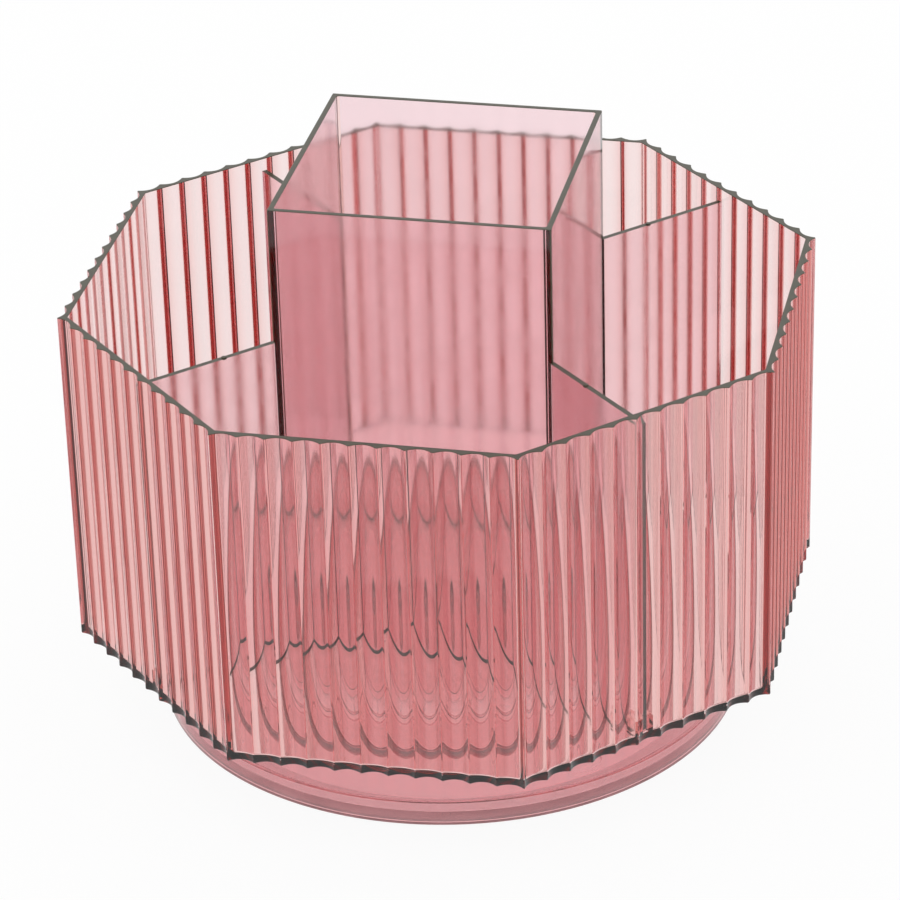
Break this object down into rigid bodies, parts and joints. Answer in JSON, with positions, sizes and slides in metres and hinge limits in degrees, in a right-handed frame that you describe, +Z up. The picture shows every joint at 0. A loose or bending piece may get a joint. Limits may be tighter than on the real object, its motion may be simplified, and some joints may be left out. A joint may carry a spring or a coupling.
{
  "type": "rotating pen holder",
  "caption": "Fluted octagonal desk organiser in clear rose plastic that turns on a round roller-ring base, with a lift-out insert of a square cup and four dividers.",
  "frame": {"origin": "on the table, under the turning axis, level with the underside of the rubber feet", "axes": "+Z up along the turning axis; the cup's front side and one side of the tray face -Y"},
  "size_m": [0.156, 0.156, 0.1289],
  "materials": {
    "tinted_plastic": "clear rose tinted, polished",
    "track_plastic": "clear, lightly tinted",
    "cage_plastic": "natural translucent",
    "roller_plastic": "natural acetal",
    "bush_plastic": "natural",
    "washer_steel": "zinc plated",
    "foot_rubber": "clear soft pad"
  },
  "bodies": {
    "base": {"base_drum": "tinted_plastic", "base_plate": "tinted_plastic", "lower_track": "track_plastic", "pivot_bush": "bush_plastic", "foot_front_left": "foot_rubber", "foot_front_right": "foot_rubber", "foot_back_right": "foot_rubber", "foot_back_left": "foot_rubber"},
    "roller_ring": {"roller_cage": "cage_plastic", "rollers": "roller_plastic"},
    "tray": {"tray_shell": "tinted_plastic", "upper_track": "track_plastic", "pivot_washer": "washer_steel", "pivot_screw": "washer_steel"},
    "insert": {"pen_cup": "tinted_plastic", "divider_front_left": "tinted_plastic", "divider_front_right": "tinted_plastic", "divider_back_right": "tinted_plastic", "divider_back_left": "tinted_plastic"}
  },
  "joints": [
    {"name": "tray_spin", "type": "hinge", "parent": "base", "child": "tray", "pos_m": [0, 0, 0.0198], "axis": [0, 0, 1], "continuous": true},
    {"name": "cage_spin", "type": "hinge", "parent": "base", "child": "roller_ring", "pos_m": [0, 0, 0.0198], "axis": [0, 0, 1], "continuous": true},
    {"name": "insert_lift", "type": "slide", "parent": "tray", "child": "insert", "axis": [0, 0, 1], "range_m": [0, 0.09]}
  ],
  "couplings": [
    {"joint": "cage_spin", "follows": "tray_spin", "ratio": 0.5}
  ]
}
